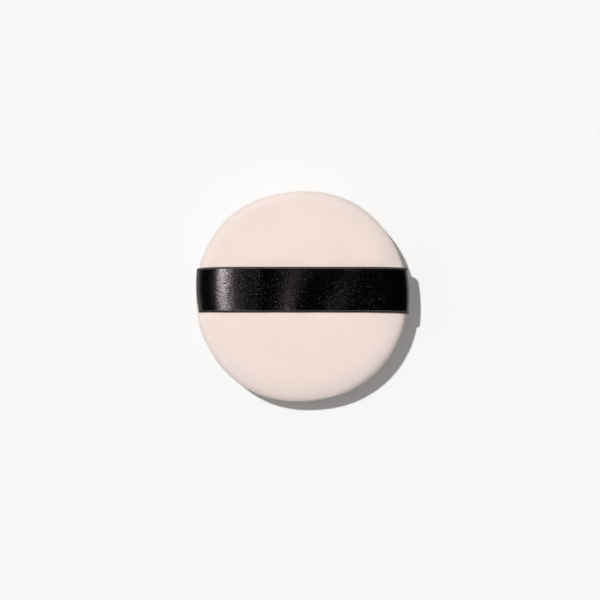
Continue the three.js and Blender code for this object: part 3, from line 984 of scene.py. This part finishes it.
def even_line(wire, mesh, length):
    """A line's mesh as a curve with points at even steps."""
    line = wire.node("GeometryNodeMeshToCurve", {"Mesh": mesh})
    return wire.node("GeometryNodeResampleCurve", {"Curve": line, "Length": length}, mode="LENGTH")


def make_selvedge_tree():
    tree, wire, given, result = new_grower("selvedge_loops", [
        ("Pitch", FLOAT, 1.0 * MM), ("Outward", FLOAT, 1.0),
        ("Loop Size", FLOAT, 0.64 * MM), ("Loop Inset", FLOAT, 0.4 * MM),
        ("Loop Lift", FLOAT, RIBBON_THICKNESS / 2), ("Tooth Size", FLOAT, 0.7 * MM),
        ("Tooth Inset", FLOAT, 0.33 * MM - SELVEDGE), ("Tooth Lift", FLOAT, 0.0),
        ("Lean Out", FLOAT, 0.25), ("Lean Along", FLOAT, -0.15),
        ("Loop Material", MATERIAL, None), ("Tooth Material", MATERIAL, None)])
    even = even_line(wire, given["Geometry"], given["Pitch"])
    tangent = wire.node("GeometryNodeInputTangent").outputs["Tangent"]
    turned = wire.node("FunctionNodeAlignRotationToVector", {"Vector": tangent}, axis="X")
    lean = wire.times(wire.times(given["Lean Out"], given["Outward"]), -1.0)
    lean = wire.vector(lean, given["Lean Along"])
    leaning = leant(wire, turned, lean)
    rows = wire.node("GeometryNodeJoinGeometry")
    for kind in ("Loop", "Tooth"):
        inward = wire.times(wire.times(given[f"{kind} Inset"], given["Outward"]), -1.0)
        shift = wire.vector(y=inward)
        row = wire.node("GeometryNodeSetPosition", {"Geometry": even, "Offset": shift})
        bead = wire.node("GeometryNodeMeshUVSphere", {
            "Segments": 8, "Rings": 6, "Radius": wire.over(given[f"{kind} Size"], 2.0)})
        smooth = wire.node("GeometryNodeSetShadeSmooth", {"Geometry": bead.outputs["Mesh"]})
        lift = wire.vector(z=given[f"{kind} Lift"])
        flattened = wire.node("GeometryNodeTransform", {
            "Geometry": smooth, "Translation": lift, "Scale": BEAD_SHAPE})
        beads = wire.node("GeometryNodeInstanceOnPoints", {
            "Points": row, "Instance": flattened, "Rotation": leaning})
        wire.put(rows.inputs[0], dressed(wire, beads, given[f"{kind} Material"]))
    wire.put(result["Geometry"], rows)
    return tree


selvedge_tree = make_selvedge_tree()
selvedges = {}
for name, grid in ribbon_grids.items():
    for edge in (0, -1):
        outward = 1.0 if grid[0, edge, 1] > RIBBON_MIDDLE else -1.0
        label = "upper" if outward > 0 else "lower"
        edge_line = grid[::HALVES[name], edge]  # both run to the right
        values = {"Outward": outward, "Loop Material": loop_yarn_painted_highlight, "Tooth Material": edge_yarn}
        selvedges[name, label] = grow_on_line(f"selvedge_{name}_{label}", edge_line, selvedge_tree, **values)

# %% [markdown]
# The covers are joined by a running stitch through both hems, the ribbon's ends are tacked, and
# the gap through which the puff was turned is closed by hand with ladder stitches in the rim. A
# node tree twists two plies round each stitch line.

# %% Stitch lines and twisted thread
TWIST_STEPS = 8.0  # points in one turn of the plies
STITCH_STEPS, STITCH_FLAT = 16, 2.2  # points in a stitch, and how much its wave is cut flat


def make_thread_tree():
    tree, wire, given, result = new_grower("twisted_thread", [
        ("Thickness", FLOAT, 0.36 * MM), ("Twist", FLOAT, 0.9 * MM), ("Material", MATERIAL, None)])
    fine = even_line(wire, given["Geometry"], wire.over(given["Twist"], TWIST_STEPS))
    run = wire.node("GeometryNodeSplineParameter").outputs["Length"]
    turn = wire.times(wire.over(run, given["Twist"]), 2 * math.pi)
    normal = wire.node("GeometryNodeInputNormal").outputs["Normal"]
    tangent = wire.node("GeometryNodeInputTangent").outputs["Tangent"]
    reach = wire.over(given["Thickness"], 4.0)
    plies = wire.node("GeometryNodeJoinGeometry")
    for phase in (0.0, math.pi):
        spoke = wire.node("ShaderNodeVectorRotate", {
            "Vector": normal, "Axis": tangent, "Angle": wire.plus(turn, phase)})
        offset = wire.node("ShaderNodeVectorMath", {0: spoke, "Scale": reach}, operation="SCALE")
        bent = wire.node("GeometryNodeSetPosition", {"Geometry": fine, "Offset": offset})
        section = wire.node("GeometryNodeCurvePrimitiveCircle", {"Resolution": 6, "Radius": reach})
        tube = wire.node("GeometryNodeCurveToMesh", {
            "Curve": bent, "Profile Curve": section, "Fill Caps": True})
        wire.put(plies.inputs[0], tube)
    wire.put(result["Geometry"], dressed(wire, plies, given["Material"]))
    return tree


def ladder_line(start, end, pitch, radius, height):
    """Ladder stitches: bars across the seam, joined by runs hidden inside one fold and then the other."""
    count = round((end - start) * radius / pitch)
    # each point of a bar: how far out of the radius, and its share of the height
    bar = [(-0.6 * MM, -1.0), (-0.1 * MM, -0.8), (0.0, 0.0), (-0.1 * MM, 0.8), (-0.6 * MM, 1.0)]
    points = []
    for i in range(count + 1):
        angle = start + (end - start) * i / count
        side = 1 if i % 2 else -1
        for out, up in bar:
            points.append(round_rim(radius + out, angle, side * up * height))
    return points


def stitch_line(start, end, pitch, radius, height):
    """A running stitch on a cylinder: over, down, under and up, from one angle to another."""
    count = max(2, round((end - start) * radius / pitch))
    points = []
    for i in range(count * STITCH_STEPS + 1):
        along = i / STITCH_STEPS
        angle = start + (end - start) * along / count
        wave = max(-1.0, min(1.0, STITCH_FLAT * math.cos(math.pi * along)))
        points.append(round_rim(radius, angle, height * wave))
    return points


thread_tree = make_thread_tree()
STITCH_RADIUS = SEAM_LINE - 1.5 * MM  # of the running seam
TACK_RADIUS = STITCH_RADIUS - 1.8 * MM
HEM_OVER = SEAM_GAP / 2 + VELOUR + 0.25 * MM  # a stitch's run, from the seam plane
CLOSING_MIDDLE, CLOSING_HALF = -math.pi / 2, 15 * MM / RIM
SEAM_PITCH, TACK_PITCH, LADDER_PITCH = 5.5 * MM, 3.5 * MM, 2.5 * MM
LADDER_OUT, LADDER_HALF = 0.5 * MM, 0.6 * MM  # how far its bars stand out, and half their height
TACK_HALF = 6 * MM  # half the width that a tack holds
tack_start = math.asin((RIBBON_MIDDLE - TACK_HALF) / TACK_RADIUS)
tack_end = math.asin((RIBBON_MIDDLE + TACK_HALF) / TACK_RADIUS)
STITCHES = {
    "seam_stitches": (CLOSING_MIDDLE + CLOSING_HALF, CLOSING_MIDDLE + 2 * math.pi - CLOSING_HALF,
                      SEAM_PITCH, STITCH_RADIUS, HEM_OVER),
    "tack_stitches_right": (tack_start, tack_end, TACK_PITCH, TACK_RADIUS, HEM_OVER),
    "tack_stitches_left": (math.pi - tack_end, math.pi - tack_start, TACK_PITCH, TACK_RADIUS, HEM_OVER),
}
paths = {name: stitch_line(*values) for name, values in STITCHES.items()}
paths["closing_stitches"] = ladder_line(CLOSING_MIDDLE - CLOSING_HALF, CLOSING_MIDDLE + CLOSING_HALF,
                                        LADDER_PITCH, SEAM_LINE + LADDER_OUT, LADDER_HALF)
stitches = {name: grow_on_line(name, path, thread_tree, Material=thread) for name, path in paths.items()}

# %% [markdown]
# Every piece in the table is attached to the body it moves with, the puff, and the solids it stands
# for are hidden. The ribbon halves and their selvedge loops get their place worked into their
# points, and the ribbon's solid is hidden.


def follow_ribbon(piece):
    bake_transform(piece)


RIDES = [
    (back_skin, "velour", ["back_cover"]),
    (face_skin, "velour", ["face_cover"]),
    (back_pile, "velour", []),
    (face_pile, "velour", []),
    (foam_core, "foam", ["foam_core"]),
    (ribbon_ends["left"], "satin", ["ribbon_tail_left"]),
    (ribbon_ends["right"], "satin", ["ribbon_tail_right"]),
    (stitches["seam_stitches"], "thread", ["seam_thread"]),
    (stitches["closing_stitches"], "thread", ["closing_thread"]),
    (stitches["tack_stitches_left"], "thread", ["ribbon_tack_left"]),
    (stitches["tack_stitches_right"], "thread", ["ribbon_tack_right"]),
]
for piece, slot, nodes in RIDES:
    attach(piece, "puff")
    if nodes:
        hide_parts(*nodes)
for name, side in HALVES.items():
    edges = [selvedges[name, "upper"], selvedges[name, "lower"]]
    for piece in (ribbons[name], *edges):
        follow_ribbon(piece)
    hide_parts("finger_ribbon")
